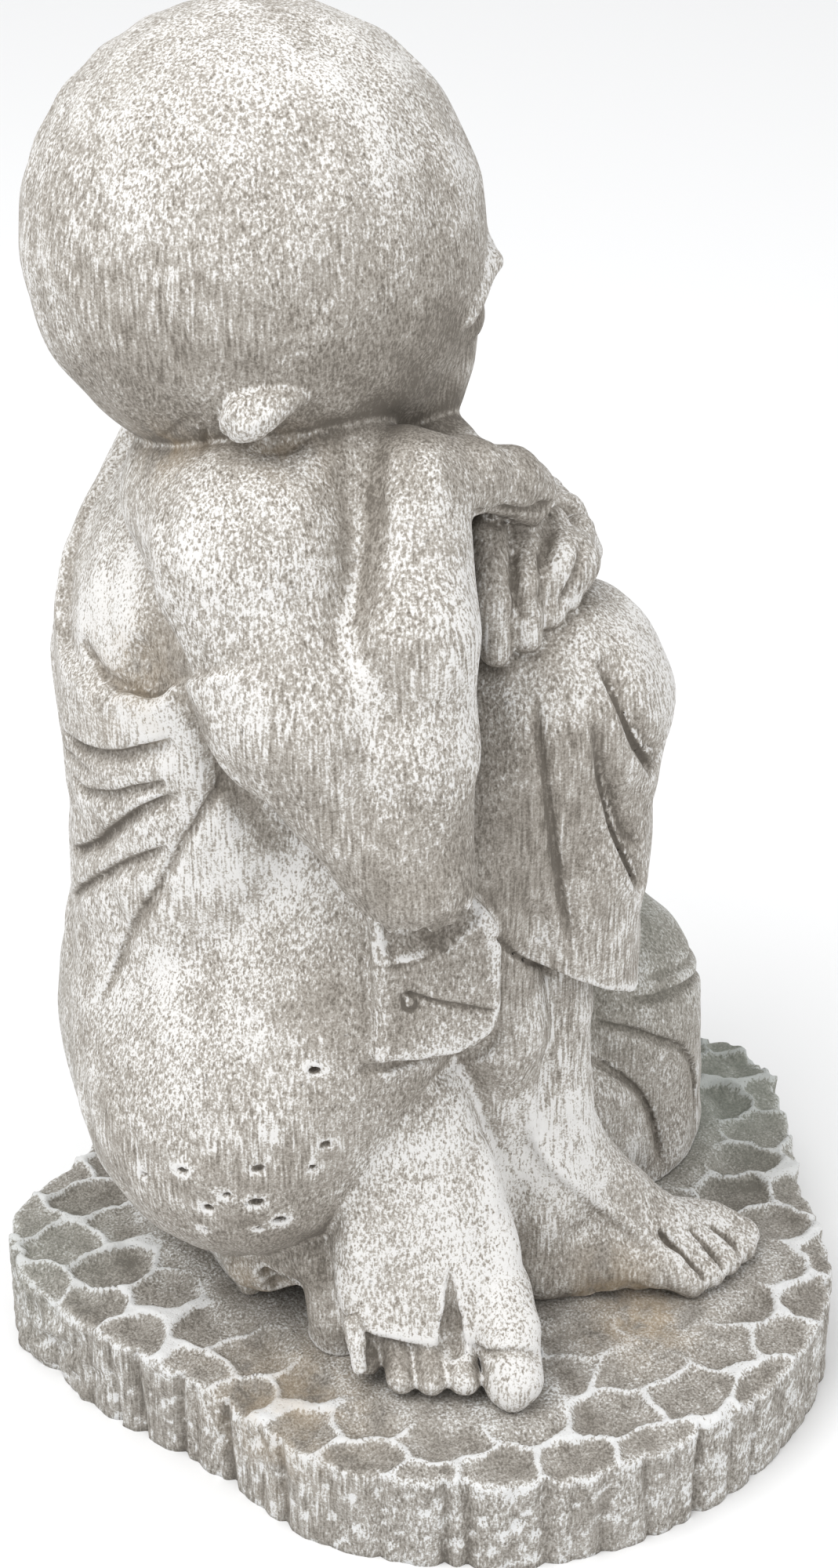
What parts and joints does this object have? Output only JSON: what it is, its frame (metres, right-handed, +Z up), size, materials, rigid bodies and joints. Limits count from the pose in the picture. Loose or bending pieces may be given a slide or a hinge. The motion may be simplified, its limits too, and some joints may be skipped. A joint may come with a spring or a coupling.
{
  "type": "garden statue",
  "caption": "Cast stone statue of a seated young monk resting the head on the hands over a raised knee, on a round base with a carved top and a fluted side.",
  "frame": {"origin": "on the flat underside of the base, at the middle round which its outline is drawn", "axes": "+Z up, -Y towards the figure's front, -X towards its right side with the raised knee"},
  "size_m": [0.244, 0.2554, 0.4035],
  "materials": {
    "figure_stone": "weathered cast stone with a white dry-brushed wash, matte",
    "base_stone": "weathered cast stone, darker in the hollows, matte"
  },
  "bodies": {
    "root": {"figure": "figure_stone", "base": "base_stone"}
  },
  "joints": []
}
